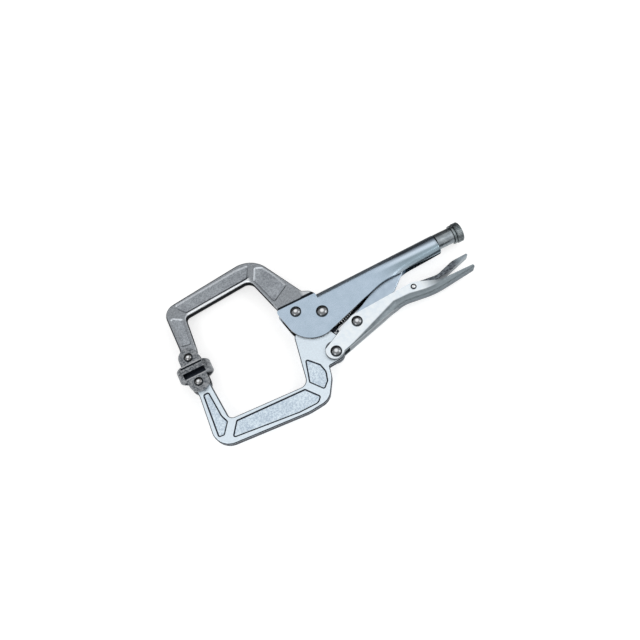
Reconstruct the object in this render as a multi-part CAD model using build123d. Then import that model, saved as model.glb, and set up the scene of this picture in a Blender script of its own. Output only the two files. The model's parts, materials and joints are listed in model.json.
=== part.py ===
from build123d import *
import math
import os

os.makedirs("parts", exist_ok=True)

# Locking C-clamp pliers, lying flat, jaws closed. Sizes are in millimetres.
# X runs along the handle to the knob, Y to the fixed jaw, Z through the thickness.
# Plan coordinates are taken from the jaw pivot, and the mid-plane is Z = 0.

# Layers through the thickness
jaw_thickness = 8.5
layer_gap = 0.3
sheet = 2.5
panel_depth = 1.1
panel_draft = 52.0
panel_rim = 2.8
panel_round = 2.4
jaw_edge_round = 1.1
sheet_edge_round = 0.5

# Fits
pin_clearance = 0.05
running_gap = 0.5
tang_gap = 3.0

# Pivots in plan
fixed_rivet_x = -21.0
fixed_rivet_y = 10.6
lever_pivot_x = -5.6
lever_pivot_y = -39.2
link_pivot_x = 22.9
link_pivot_y = -22.9
release_pivot_x = 82.2
release_pivot_y = -17.1
link_length = 73.0
link_angle = 29.2

# Rivets and pins
jaw_rivet_shank = 7.0
jaw_rivet_head = 11.0
fixed_rivet_shank = 6.5
fixed_rivet_head = 10.0
lever_rivet_shank = 6.0
lever_rivet_head = 10.2
link_rivet_shank = 6.0
link_rivet_head = 10.0
release_rivet_shank = 3.4
release_rivet_head = 5.4
release_rivet_dimple = 2.4
release_dimple_depth = 0.7
pad_pin_shank = 5.0
pad_pin_head = 8.0
rivet_dome = 2.5
release_dome = 0.9

# Swivel pads
reach = 123.2
clamp_line = 3.6
pad_pin_height = 12.05
pad_gap = 0.3
pad_radius = 15.5
pad_flat = 11.8
pad_base = 4.4
pad_cone = 2.4
pad_cone_radius = 11.5
pad_front_rim = 2.0
pad_ear_half = 9.0
pad_notch_half = 9.8
pad_foot_height = 3.0
pad_foot_depth = 1.5
pad_tip_gap = 0.7

# Jaws
leg_tip_radius = 6.4
leg_half = 7.0
leg_offset = 2.5
throat_top = 55.0
throat_bottom = -50.2
throat_back = -41.5
arm_depth = 18.0
lower_arm_depth = 20.0
hub_radius = 11.0
lug_radius = 7.2
hook_lug_height = 6.0

# Handle shell
shell_front = -36.9
shell_rear = 123.0
shell_top_front = 19.5
shell_top_rear = 22.3
shell_bottom_rear = 1.0
shell_end_round = 1.8
cheek_top = 19.0
cheek_drop = 27.7
cheek_rise = 18.1
cheek_round = 25.0
web_front = 2.0
tube_x = 83.5
tube_fall = 20.0
tube_rise = 3.3
slot_run = 12.0
slot_waist = 3.5
slot_rear = 1.0

# Lever handle
lever_nose_radius = 8.4
lever_top_offset = 9.0
lever_top_rise = 26.5
lever_web_start = 6.6
lever_web_rise = 14.9
lever_fold_round = 1.2
lever_waist_rise = 20.4
lever_tail_end = 141.0

# Toggle link and release lever
link_thickness = 6.0
link_eye = 6.5
link_tail = 4.2
release_tip = 2.0
release_nose = 15.2
release_heel = 5.0
release_shoulder = 6.0
release_bend = 25.0
release_crest = 43.0
release_under_bend = 35.0
release_under_crest = 50.0
release_top = 3.6
release_foot = 3.8
release_rise = 7.6

# Adjusting screw and knob
screw_diameter = 8.0
screw_line = 14.5
screw_tip_gap = 6.8
bush_diameter = 14.8
bush_length = 16.0
knob_gap = 0.3
knob_diameter = 18.6
knob_flange_diameter = 17.6
knob_flange = 1.7
knob_groove_diameter = 13.6
knob_groove = 1.2
knob_drum = 5.9
knob_chamfer = 0.6
knob_socket = 6.0

# Tension spring
wire = 1.0
coil_radius = 2.5
hook_radius = 2.0
hook_run = 5.0
turns = 19
fin_thickness = 2.0
hook_hole = 2.6
jaw_hook_x = 2.6
jaw_hook_y = -21.2
anchor_x = 56.0
anchor_y = 8.0
anchor_half = 3.6

# Worked out from the sizes above
jaw_half = jaw_thickness / 2
inner_half = jaw_half + layer_gap
outer_half = inner_half + sheet
pads_x = -reach
upper_face_y = clamp_line + pad_gap / 2
lower_face_y = clamp_line - pad_gap / 2
upper_pin_y = upper_face_y + pad_pin_height
lower_pin_y = lower_face_y - pad_pin_height
link_tail_x = link_pivot_x + link_length * math.cos(math.radians(link_angle))
link_tail_y = link_pivot_y + link_length * math.sin(math.radians(link_angle))
screw_tip_x = link_tail_x + link_tail + screw_tip_gap
bush_end = shell_rear + bush_length
knob_start = bush_end + knob_gap
past = 20.0
bar_flat = 0.25


def outline(corners):
    """Closed face through corner points (x, y, rounding radius), looking up."""
    turn = sum(last[0] * here[1] - here[0] * last[1] for last, here in zip(corners[-1:] + corners, corners))
    corners = corners if turn > 0 else corners[::-1]
    rounds = []
    for index, (x, y, radius) in enumerate(corners):
        corner = Vector(x, y)
        before = Vector(*corners[index - 1][:2])
        after = Vector(*corners[(index + 1) % len(corners)][:2])
        back = (before - corner).normalized()
        ahead = (after - corner).normalized()
        half = math.radians(back.get_angle(ahead)) / 2
        if radius == 0:
            rounds.append((corner, None, corner))
            continue
        inward = (back + ahead).normalized()
        middle = corner + inward * (radius / math.sin(half) - radius)
        reach_along = radius / math.tan(half)
        rounds.append((corner + back * reach_along, middle, corner + ahead * reach_along))
    edges = []
    for index, (start, middle, end) in enumerate(rounds):
        if middle is not None:
            edges.append(ThreePointArc(start, middle, end))
        edges.append(Line(end, rounds[(index + 1) % len(rounds)][0]))
    return Face(Wire(edges))


def plate(corners, half):
    """Outline given thickness, from -half to half in Z."""
    return extrude(outline(corners), amount=half, both=True)


def disc(x, y, radius, half):
    """Upright round of the given radius, from -half to half in Z."""
    return Pos(x, y, 0) * Cylinder(radius, 2 * half)


def round_edges(solid, half, radius):
    """Rounds every edge of a plate that lies in its two flat faces."""
    flat = [edge for edge in solid.edges() if abs(abs(edge.center().Z) - half) < 1e-4]
    return fillet(flat, radius)


def panels(solid, shapes):
    """Sinks recessed panels with sloping walls into both faces of a forged jaw."""
    above = panel_depth / 5
    for corners in shapes:
        sunk = extrude(outline(corners), amount=panel_depth + above, taper=panel_draft)
        lower = Pos(0, 0, -jaw_half - above) * sunk
        solid = solid - lower - mirror(lower, Plane.XY)
    return solid


def standing_bar(low_line, half, lift, ceiling):
    """Tall bar on a line of corners, its lower side round from face to face but for a narrow flat."""
    foot = [(x, y + lift, radius) for x, y, radius in low_line]
    bar = plate(foot + [(foot[-1][0], ceiling, 0), (foot[0][0], ceiling, 0)], half)
    rims = bar.edges().filter_by_position(Axis.X, foot[0][0] + 1, foot[-1][0] - 1)
    rims = [edge for edge in rims if edge.center().Y < ceiling - 1]
    return fillet(rims, half - bar_flat)


def rivet(x, y, shank, head, dome, half):
    """Shank with a domed head on each face, standing upright at (x, y)."""
    upper = Pos(0, 0, half) * dome_head(head / 2, dome)
    lower = mirror(upper, Plane.XY)
    return Pos(x, y, 0) * (Cylinder(shank / 2, 2 * half) + upper + lower)


def dome_head(radius, height):
    """Round cap with a low straight rim, its flat side on Z = 0."""
    rim = height / 5
    ball = (radius**2 + (height - rim) ** 2) / (2 * (height - rim))
    halfway = math.asin(min(1.0, radius / ball)) / 2
    middle = (ball * math.sin(halfway), height - ball + ball * math.cos(halfway))
    sides = [
        ThreePointArc((0, height), middle, (radius, rim)),
        Line((radius, rim), (radius, 0)),
        Line((radius, 0), (0, 0)),
        Line((0, 0), (0, height)),
    ]
    return revolve(Plane.XZ * Face(Wire(sides)), Axis.Z)


def touching_slope(x, y, radius, side):
    """Slope of the line from (x, y) that touches a circle about zero, above (1) or below (-1) it."""
    to_centre = math.atan2(-y, -x)
    return math.tan(to_centre + side * math.asin(radius / math.hypot(x, y)))


# Fixed jaw: left leg, top arm, right leg and the lug over the front of the shell's back
leg_left = pads_x - leg_half + leg_offset
leg_right = pads_x + leg_half + leg_offset
top_left = throat_top + arm_depth - 3.2
top_right = throat_top + arm_depth + 8.0
back_top = throat_top + 5.4
jaw_shoulder_x = throat_back + 9.2
jaw_shoulder_y = lower_pin_y - 0.5
hub_line = touching_slope(jaw_shoulder_x, jaw_shoulder_y, hub_radius, 1)
hub_corner_y = jaw_shoulder_y + (hub_radius - jaw_shoulder_x) * hub_line
tang_x = throat_back + 9.8
tang_low = jaw_shoulder_y + (tang_x - jaw_shoulder_x) * hub_line + tang_gap
tang_rear = jaw_shoulder_y + (web_front - jaw_shoulder_x) * hub_line + tang_gap
fixed_jaw_outline = [
    (pads_x - leg_tip_radius, upper_pin_y - leg_tip_radius, leg_tip_radius - 0.2),
    (pads_x + leg_tip_radius, upper_pin_y - leg_tip_radius, leg_tip_radius - 0.2),
    (leg_right - 0.3, upper_pin_y + 8, 12),
    (leg_right + 1.9, throat_top - 0.4, 4),
    (throat_back - 3.4, back_top, 8),
    (throat_back + 8.4, upper_pin_y + 1.5, 6),
    (tang_x, tang_low, 3),
    (web_front, tang_rear, 0),
    (web_front, cheek_top + 2.0, 1.5),
    (web_front - 3.2, cheek_top + hook_lug_height, 4),
    (web_front - 9.4, cheek_top + hook_lug_height + 3.0, 2.5),
    (throat_back + 7.3, top_right, 25),
    (leg_left, top_left, 12),
    (leg_left - 0.2, upper_pin_y + 12, 20),
]
fixed_jaw_panels = [
    [
        (leg_left + 2.0, upper_pin_y + 12.6, panel_round),
        (leg_right - 1.7, upper_pin_y + 11.0, panel_round),
        (leg_right + 0.2, throat_top - 1.5, panel_round),
        (leg_left + 2.4, top_left - 9.0, panel_round),
    ],
    [
        (leg_right + 3.9, throat_top + 1.9, panel_round),
        (throat_back - 4.7, back_top + 1.1, panel_round),
        (throat_back + 2.4, top_right - 6.0, panel_round),
        (throat_back - 10.5, top_right - 5.0, 20),
        (leg_left + 11.4, top_left - 0.3, panel_round),
        (leg_left + 11.8, top_left - 4.6, panel_round),
    ],
    [
        (throat_back - 1.1, back_top - 2.8, panel_round),
        (throat_back + 7.2, upper_pin_y + 12.6, panel_round),
        (throat_back + 25.0, upper_pin_y + 23.1, panel_round),
        (throat_back + 19.2, top_right - 26.5, 10),
        (throat_back + 12.5, top_right - 14.0, 4),
        (throat_back + 5.1, top_right - 10.8, panel_round),
    ],
]
fixed_jaw = plate(fixed_jaw_outline, jaw_half)
fixed_jaw -= disc(0, 0, hub_radius + running_gap, past)
fixed_jaw = panels(round_edges(fixed_jaw, jaw_half, jaw_edge_round), fixed_jaw_panels)
fixed_jaw -= disc(fixed_rivet_x, fixed_rivet_y, fixed_rivet_shank / 2 + pin_clearance, past)
fixed_jaw -= disc(pads_x, upper_pin_y, pad_pin_shank / 2 + pin_clearance, past)

# Moving jaw: left leg, bottom arm, back, hub on the pivot and lug for the lever
low_left = throat_bottom - lower_arm_depth
low_right = throat_bottom - lower_arm_depth - 6.2
neck_right = jaw_hook_x + 3.0
lug_side = lever_pivot_x + lug_radius
notch_x = lever_pivot_x - 10.8
notch_y = lever_pivot_y - 8.0
lug_line = touching_slope(notch_x - lever_pivot_x, notch_y - lever_pivot_y, lug_radius, -1)
lug_corner_y = notch_y + (lug_side - notch_x) * lug_line
moving_jaw_outline = [
    (pads_x - leg_tip_radius, lower_pin_y + leg_tip_radius, leg_tip_radius - 0.2),
    (leg_left - 0.4, lower_pin_y - 12, 20),
    (leg_left - 4.1, low_left, 16),
    (throat_back - 8.0, low_right + 0.2, 40),
    (throat_back + 11.9, low_right + 2.0, 14),
    (throat_back + 22.9, throat_bottom - 6.8, 14),
    (notch_x, notch_y, 1.5),
    (lug_side, lug_corner_y, lug_radius),
    (lug_side, jaw_hook_y - 12.0, 3),
    (neck_right, jaw_hook_y - 9.0, 3),
    (neck_right, jaw_hook_y + 8.0, 4),
    (hub_radius, jaw_hook_y + 14.0, 4),
    (hub_radius, hub_corner_y, hub_radius),
    (jaw_shoulder_x, jaw_shoulder_y, 5),
    (throat_back + 0.7, throat_bottom - 3.5, 7),
    (leg_right + 1.3, throat_bottom, 5),
    (leg_right - 1.6, lower_pin_y - 6, 12),
    (pads_x + leg_tip_radius, lower_pin_y + leg_tip_radius, leg_tip_radius - 0.2),
]
moving_jaw_panels = [
    [
        (leg_left + panel_rim - 0.5, lower_pin_y - 11.0, 2.6),
        (leg_right - panel_rim - 2.4, lower_pin_y - 11.0, 2.6),
        (leg_right - panel_rim - 0.2, throat_bottom + 5.6, 8),
        (leg_right - 0.2, throat_bottom - 1.2, panel_round),
        (leg_left + 6.2, low_left + 8.6, 2.5),
        (leg_left + panel_rim - 2.8, low_left + 9.2, 2.5),
    ],
    [
        (leg_right + 5.7, throat_bottom - panel_rim - 0.3, panel_round),
        (throat_back - 2.5, throat_bottom - panel_rim - 2.6, panel_round),
        (throat_back + 7.5, throat_bottom - 17.8, 2.5),
        (throat_back + 2.6, low_right + 3.4, 6),
        (throat_back - 15.5, low_right + 3.2, 20),
        (leg_left + 9.9, low_left + 3.3, panel_round),
    ],
    [
        (throat_back + 8.7, lever_pivot_y + 8.7, panel_round),
        (throat_back + 19.3, lever_pivot_y - 3.1, 4),
        (throat_back + 21.1, throat_bottom - 0.3, 8),
        (throat_back + 18.5, throat_bottom - 8.8, 4),
        (throat_back + 12.1, throat_bottom - 14.8, panel_round),
        (throat_back + 2.4, throat_bottom - 2.6, panel_round),
    ],
]
moving_jaw = round_edges(plate(moving_jaw_outline, jaw_half), jaw_half, jaw_edge_round)
moving_jaw = panels(moving_jaw, moving_jaw_panels)
moving_jaw -= disc(0, 0, jaw_rivet_shank / 2 + pin_clearance, past)
moving_jaw -= disc(lever_pivot_x, lever_pivot_y, lever_rivet_shank / 2 + pin_clearance, past)
moving_jaw -= disc(pads_x, lower_pin_y, pad_pin_shank / 2 + pin_clearance, past)

# Tension spring line: hooks at both ends lie on the line from the jaw's hole to the anchor's hole
spring_start = Vector(jaw_hook_x, jaw_hook_y)
spring_end = Vector(anchor_x, anchor_y)
along = (spring_end - spring_start).normalized()
across = Vector(-along.Y, along.X)
hook_span = (spring_end - spring_start).length
spring_turn = math.degrees(math.atan2(along.Y, along.X))

# The jaw is thinned to a fin round the hook's hole
fin_half = fin_thickness / 2
fin_pocket_length = 2 * hook_radius + 12
fin_pocket_width = 2 * wire + 5
fin_pocket = Box(
    fin_pocket_length, fin_pocket_width, jaw_thickness, align=(Align.MIN, Align.CENTER, Align.MIN)
)
fin_place = Pos(jaw_hook_x, jaw_hook_y, fin_half) * Rot(0, 0, spring_turn) * Pos(-hook_radius - 1, 0, 0)
upper_pocket = fin_place * fin_pocket
moving_jaw = moving_jaw - upper_pocket - mirror(upper_pocket, Plane.XY)
moving_jaw -= disc(jaw_hook_x, jaw_hook_y, hook_hole / 2, past)

# Handle shell: two cheeks under a round back, open at the front and below. Behind the link the
# cheeks curl in to an oval tube with a slot along its lower side that narrows to the rear.
cheek_slope = math.tan(math.radians(cheek_rise))
cheek_foot_x = shell_front + 10.0
cheek_run_x = cheek_foot_x + (cheek_drop + shell_bottom_rear) / cheek_slope
shell_outline = [
    (shell_front, cheek_top, 2.5),
    (cheek_foot_x, -cheek_drop, cheek_round),
    (cheek_run_x, shell_bottom_rear, 60),
    (shell_rear, shell_bottom_rear, 0),
    (shell_rear, shell_top_rear, 0),
    (web_front, shell_top_front, 0),
    (web_front, cheek_top, 0),
]
tube_front = shell_front - past
tube_rear = shell_rear + past
tube_line = [
    (tube_front, shell_bottom_rear - (tube_x - tube_front) * math.tan(math.radians(tube_fall)), 0),
    (tube_x, shell_bottom_rear, 60),
    (tube_rear, shell_bottom_rear + (tube_rear - tube_x) * math.tan(math.radians(tube_rise)), 0),
]
back_slope = math.degrees(math.atan2(shell_top_rear - shell_top_front, shell_rear - web_front))
back_line = Pos(web_front, shell_top_front, 0) * Rot(0, 0, back_slope)
back_length = shell_rear - web_front + past
back_axis = back_line * Pos(back_length / 2 - past / 2, -outer_half, 0) * Rot(0, 90, 0)
back_stock = back_line * Pos(0, -outer_half, 0) * Box(
    back_length, 2 * outer_half, 3 * outer_half, align=(Align.MIN, Align.MIN, Align.CENTER)
)
back_stock -= back_axis * Cylinder(outer_half, 2 * back_length)
cavity = plate(
    [
        (tube_front, -cheek_drop - past, 0),
        (tube_rear, -cheek_drop - past, 0),
        (tube_rear, shell_top_rear - outer_half + past * math.tan(math.radians(back_slope)), 0),
        (web_front, shell_top_front - outer_half, 0),
        (web_front, cheek_top + past, 0),
        (tube_front, cheek_top + past, 0),
    ],
    inner_half,
)
cavity &= standing_bar(tube_line, inner_half, sheet, shell_top_rear + 2 * past)
cavity += back_line * Pos(0, -outer_half, 0) * Rot(0, 90, 0) * Cylinder(
    inner_half, back_length, align=(Align.CENTER, Align.CENTER, Align.MIN)
)
slot_outline = [
    (anchor_x, -inner_half, 0),
    (tube_x, -inner_half, 0),
    (tube_x + slot_run, -slot_waist, 0),
    (shell_rear, -slot_rear, 0),
    (shell_rear, slot_rear, 0),
    (tube_x + slot_run, slot_waist, 0),
    (tube_x, inner_half, 0),
    (anchor_x, inner_half, 0),
]
slot = Pos(0, anchor_y, 0) * Rot(90, 0, 0) * extrude(outline(slot_outline), amount=past)
shell_body = plate(shell_outline, outer_half) - back_stock
shell_body &= standing_bar(tube_line, outer_half, 0, shell_top_rear + 2 * past)
end_edges = [edge for edge in shell_body.edges() if abs(edge.bounding_box().min.X - shell_rear) < 1e-3]
handle_shell = fillet(end_edges, shell_end_round) - cavity - slot
handle_shell -= disc(0, 0, jaw_rivet_shank / 2 + pin_clearance, past)
handle_shell -= disc(fixed_rivet_x, fixed_rivet_y, fixed_rivet_shank / 2 + pin_clearance, past)

# Spring anchor: a tab under the shell's back with the hole for the far hook
anchor_top = shell_top_rear
spring_anchor = plate(
    [
        (anchor_x - anchor_half, anchor_y - anchor_half, 2),
        (anchor_x + anchor_half, anchor_y - anchor_half, 2),
        (anchor_x + anchor_half, anchor_top, 0),
        (anchor_x - anchor_half, anchor_top, 0),
    ],
    fin_half,
)
back_solid = plate(
    [
        (web_front, shell_top_front - outer_half, 0),
        (shell_rear, shell_top_rear - outer_half, 0),
        (shell_rear, shell_top_rear + past, 0),
        (web_front, shell_top_front + past, 0),
    ],
    inner_half,
)
spring_anchor -= back_solid - cavity
spring_anchor -= disc(anchor_x, anchor_y, hook_hole / 2, past)

# Lever handle: channel closed along its outer side, with two ears on the jaw's lug. The closed side
# is folded square at the front and turns into a round gutter towards the tail.
top_rise = math.radians(lever_top_rise)
nose_x = lever_pivot_x - 0.6
nose_y = lever_pivot_y + 1.7
nose_low_x = nose_x + 2.2
top_x = lever_pivot_x - lever_top_offset * math.sin(top_rise)
top_y = lever_pivot_y + lever_top_offset * math.cos(top_rise)
shoulder_x = link_pivot_x - 2.0
shoulder_y = top_y + (shoulder_x - top_x) * math.tan(top_rise)
web_slope = math.tan(math.radians(lever_web_rise))
crest_x = link_pivot_x + 38.1
crest_y = lever_pivot_y - 1.2 + (crest_x - lever_pivot_x - 14.1) * web_slope
waist_x = crest_x + 6.0
waist_y = release_pivot_y - 8.8
belly_x = release_pivot_x + 16.0
belly_y = release_pivot_y - 13.0
tail_top = release_pivot_y - 5.3
tail_low = release_pivot_y - 8.3
lever_left = nose_x - lever_nose_radius
lever_floor = lever_pivot_y - past
lever_ceiling = release_pivot_y + past
lever_outline = [
    (top_x, top_y, 0),
    (nose_low_x, nose_y - lever_nose_radius, 0),
    (nose_low_x, lever_floor, 0),
    (lever_tail_end - 4.0, lever_floor, 0),
    (lever_tail_end - 4.0, tail_low - 1.0, 0),
    (lever_tail_end + 0.4, tail_low + 1.4, 1.2),
    (lever_tail_end - 1.8, tail_top, 1.2),
    (release_pivot_x + 25.0, tail_top + 0.1, 14),
    (release_pivot_x + 1.0, release_pivot_y + 4.6, 12),
    (shoulder_x, shoulder_y, 4),
]
gutter_fall = (waist_x - lever_left) * math.tan(math.radians(lever_waist_rise))
gutter_line = [
    (lever_left, waist_y - gutter_fall, 0),
    (waist_x, waist_y, 30),
    (belly_x, belly_y, 80),
    (lever_tail_end + 1, tail_low, 0),
]


def lever_core(half, lift, fold_round):
    """Space above the lever's closed side, from face to face."""
    front = plate(
        [
            (lever_left, lever_ceiling, 0),
            (lever_left, crest_y - (crest_x - lever_left) * web_slope + lift, 0),
            (crest_x, crest_y + lift, 40),
            (crest_x + 19.0, crest_y - 3.8 + lift, 0),
            (crest_x + 19.0, lever_floor, 0),
            (lever_tail_end + 1, lever_floor, 0),
            (lever_tail_end + 1, lever_ceiling, 0),
        ],
        half,
    )
    folds = front.edges().filter_by_position(Axis.X, lever_left + 1, crest_x + 18.0)
    folds = [edge for edge in folds if edge.center().Y < crest_y + lift]
    return fillet(folds, fold_round) & standing_bar(gutter_line, half, lift, lever_ceiling)


lever_body = plate(lever_outline, outer_half) & lever_core(outer_half, 0, lever_fold_round)
lever_body += disc(nose_x, nose_y, lever_nose_radius, outer_half)
front_gap = Box(2 * past, 2 * past, 2 * inner_half, align=(Align.MAX, Align.CENTER, Align.CENTER))
channel = lever_core(inner_half, sheet, lever_fold_round / 3)
lever_handle = lever_body - channel - Pos(lever_web_start, lever_pivot_y, 0) * front_gap
lever_handle -= disc(lever_pivot_x, lever_pivot_y, lever_rivet_shank / 2 + pin_clearance, past)
lever_handle -= disc(link_pivot_x, link_pivot_y, link_rivet_shank / 2 + pin_clearance, past)
lever_handle -= disc(release_pivot_x, release_pivot_y, release_rivet_shank / 2 + pin_clearance, past)

# Toggle link: eye on the lever, heel over the release lever's nose, tail towards the screw's tip.
# Its outline is measured along and across the line from eye to tail.
link_half = link_thickness / 2
eye_round = link_eye - 0.1
tail_round = link_tail - 0.1
heel_along = 42.4
heel_across = 10.9
link_outline = [
    (-link_eye, link_eye, eye_round),
    (-link_eye, -link_eye, eye_round),
    (heel_along - 8.0, -heel_across + 1.2, 8),
    (heel_along, -heel_across, 2),
    (link_length + link_tail, -link_tail, tail_round),
    (link_length + link_tail, link_tail, tail_round),
]
toggle_link = round_edges(plate(link_outline, link_half), link_half, sheet_edge_round)
toggle_link -= disc(0, 0, link_rivet_shank / 2 + pin_clearance, past)
toggle_link = Pos(link_pivot_x, link_pivot_y, 0) * Rot(0, 0, link_angle) * toggle_link

# Release lever: nose under the link's heel, pivot in the lever's channel, and a tail that leaves the
# channel and thins towards its tip between the handles
release_half = inner_half - layer_gap
release_end = lever_tail_end - 0.2
tip_top = release_pivot_y + release_rise
release_outline = [
    (release_pivot_x - release_nose, release_pivot_y + 1.1, 1),
    (release_pivot_x - release_nose / 2, release_pivot_y + release_top, 6),
    (release_pivot_x + release_shoulder, release_pivot_y + release_top, 8),
    (release_pivot_x + release_bend, release_pivot_y + 1.4, 14),
    (release_pivot_x + release_crest, tip_top - 0.6, 20),
    (release_end, tip_top, 0.9),
    (release_end, tip_top - release_tip, 0.9),
    (release_pivot_x + release_under_crest, tip_top - 2.2 * release_tip, 20),
    (release_pivot_x + release_under_bend, release_pivot_y - 1.2, 14),
    (release_pivot_x - release_heel, release_pivot_y - release_foot, 6),
    (release_pivot_x - release_nose, release_pivot_y - 1.1, 1),
]
release_lever = round_edges(plate(release_outline, release_half), release_half, sheet_edge_round)
release_lever -= disc(release_pivot_x, release_pivot_y, release_rivet_shank / 2 + pin_clearance, past)


def swivel_pad():
    """Pad above its clamping face at Y = 0: round base with flats, low cone, and two ears for the pin."""
    upright = Rot(-90, 0, 0)
    on_face = (Align.CENTER, Align.CENTER, Align.MIN)
    base = upright * Cylinder(pad_radius, pad_base, align=on_face)
    base += Pos(0, pad_base, 0) * upright * Cone(pad_radius, pad_cone_radius, pad_cone, align=on_face)
    base &= Box(4 * pad_radius, 4 * pad_radius, 2 * pad_flat)
    leg_room = Box(4 * pad_radius, past, 2 * inner_half, align=(Align.CENTER, Align.MIN, Align.CENTER))
    base -= Pos(0, pad_pin_height - leg_tip_radius - pad_tip_gap, 0) * leg_room
    ear = extrude(
        outline(
            [
                (-pad_ear_half, pad_front_rim / 2, 0),
                (pad_ear_half, pad_front_rim / 2, 0),
                (pad_ear_half, pad_pin_height, 0),
                (-pad_ear_half, pad_pin_height, 0),
            ]
        ),
        amount=sheet,
    )
    ear += Pos(0, pad_pin_height, 0) * Cylinder(pad_ear_half, sheet, align=on_face)
    near = Pos(0, 0, inner_half) * ear
    notch = Box(2 * pad_notch_half, past, past, align=on_face[:1] + (Align.MIN, Align.MIN))
    near_notch = Pos(0, pad_front_rim, outer_half) * notch
    foot = Box(2 * pad_notch_half, pad_foot_height, past, align=on_face[:1] + (Align.MIN, Align.MIN))
    near_notch += Pos(0, pad_front_rim, outer_half - pad_foot_depth) * foot
    body = base + near + mirror(near, Plane.XY) - near_notch - mirror(near_notch, Plane.XY)
    return body - disc(0, pad_pin_height, pad_pin_shank / 2 + pin_clearance, past)


upper_pad = Pos(pads_x, upper_face_y, 0) * swivel_pad()
lower_pad = Pos(pads_x, lower_face_y, 0) * mirror(swivel_pad(), Plane.XZ)

# Rivets and pins
fixed_jaw_rivet = rivet(
    fixed_rivet_x, fixed_rivet_y, fixed_rivet_shank, fixed_rivet_head, rivet_dome, outer_half
)
jaw_pivot_rivet = rivet(0, 0, jaw_rivet_shank, jaw_rivet_head, rivet_dome, outer_half)
lever_pivot_rivet = rivet(
    lever_pivot_x, lever_pivot_y, lever_rivet_shank, lever_rivet_head, rivet_dome, outer_half
)
link_rivet = rivet(link_pivot_x, link_pivot_y, link_rivet_shank, link_rivet_head, rivet_dome, outer_half)
release_rivet = rivet(
    release_pivot_x, release_pivot_y, release_rivet_shank, release_rivet_head, release_dome, outer_half
)
dimple = Pos(release_pivot_x, release_pivot_y, outer_half + release_dome - release_dimple_depth) * Cylinder(
    release_rivet_dimple / 2, past, align=(Align.CENTER, Align.CENTER, Align.MIN)
)
release_rivet = release_rivet - dimple - mirror(dimple, Plane.XY)
upper_pad_pin = rivet(pads_x, upper_pin_y, pad_pin_shank, pad_pin_head, rivet_dome, outer_half)
lower_pad_pin = rivet(pads_x, lower_pin_y, pad_pin_shank, pad_pin_head, rivet_dome, outer_half)


def turned(start, length, radius):
    """Round bar on the screw's line, from start towards the knob."""
    return Pos(start, screw_line, 0) * Rot(0, 90, 0) * Cylinder(
        radius, length, align=(Align.CENTER, Align.CENTER, Align.MIN)
    )


# Screw bushing, adjusting screw and knurled knob on one line
screw_radius = screw_diameter / 2
screw_bushing = turned(shell_rear, bush_length, bush_diameter / 2)
screw_bushing -= turned(shell_rear - past, bush_length + 2 * past, screw_radius + pin_clearance)
screw_end = knob_start + knob_socket
adjusting_screw = turned(screw_tip_x, screw_end - screw_tip_x, screw_radius)
adjusting_screw = chamfer(adjusting_screw.edges().sort_by(Axis.X)[0], knob_chamfer)
drum_start = knob_start + knob_flange + knob_groove
knob_flange_disc = turned(knob_start, knob_flange, knob_flange_diameter / 2)
knob_waist = turned(knob_start, knob_flange + knob_groove + knob_drum / 2, knob_groove_diameter / 2)
knob_drum_disc = turned(drum_start, knob_drum, knob_diameter / 2)
drum_rims = [edge for edge in knob_drum_disc.edges() if edge.geom_type == GeomType.CIRCLE]
knurled_knob = knob_flange_disc + knob_waist + chamfer(drum_rims, knob_chamfer)
knurled_knob -= turned(knob_start - past, past + knob_socket + pin_clearance, screw_radius + pin_clearance)


def spring_point(run, side, height):
    """Point on the spring, by its run from the jaw's hook centre, its side and its height."""
    base = spring_start + along * (run + hook_radius) + across * side
    return Vector(base.X, base.Y, height)


def biarc(start, start_way, end, end_way):
    """Two tangent arcs from one point and direction to another."""
    chord = end - start
    both = start_way + end_way
    spread = 2 * (1 - start_way.dot(end_way))
    lean = chord.dot(both)
    length = (math.sqrt(lean * lean + spread * chord.dot(chord)) - lean) / spread
    inner = start + start_way * length
    outer = end - end_way * length
    joint = (inner + outer) * 0.5
    joint_way = (outer - inner).normalized()
    return [TangentArc(start, joint, tangent=start_way), TangentArc(joint, end, tangent=joint_way)]


# Spring: hook, quarter bend, helix of half-turn biarcs, quarter bend, hook
upward = Vector(0, 0, 1)
coil_start = hook_run + hook_radius
coil_end = hook_span - 2 * hook_radius - coil_start
pitch = (coil_end - coil_start) / turns


def helix_stop(half_turn):
    """Place and direction on the helix after a count of half turns."""
    angle = math.pi * half_turn
    place = spring_point(
        coil_start + pitch * half_turn / 2,
        coil_radius - coil_radius * math.cos(angle),
        -coil_radius * math.sin(angle),
    )
    way = (
        along * (pitch / math.tau)
        + across * (coil_radius * math.sin(angle))
        - upward * (coil_radius * math.cos(angle))
    )
    return place, way.normalized()


near_hook = [
    Line(spring_point(wire, 0, -hook_radius), spring_point(0, 0, -hook_radius)),
    ThreePointArc(
        spring_point(0, 0, -hook_radius), spring_point(-hook_radius, 0, 0), spring_point(0, 0, hook_radius)
    ),
    Line(spring_point(0, 0, hook_radius), spring_point(hook_run, 0, hook_radius)),
]
far_run = coil_end + hook_radius
far_turn = far_run + hook_run
far_hook = [
    Line(spring_point(far_run, 0, -hook_radius), spring_point(far_turn, 0, -hook_radius)),
    ThreePointArc(
        spring_point(far_turn, 0, -hook_radius),
        spring_point(far_turn + hook_radius, 0, 0),
        spring_point(far_turn, 0, hook_radius),
    ),
    Line(spring_point(far_turn, 0, hook_radius), spring_point(far_turn - wire, 0, hook_radius)),
]
stops = [helix_stop(quarter / 2) for quarter in range(4 * turns + 1)]
spring_edges = near_hook + biarc(spring_point(hook_run, 0, hook_radius), along, *stops[0])
for (here, here_way), (there, there_way) in zip(stops, stops[1:]):
    spring_edges += biarc(here, here_way, there, there_way)
spring_edges += biarc(*stops[-1], spring_point(far_run, 0, -hook_radius), along) + far_hook
spring_path = Wire(spring_edges)
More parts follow.
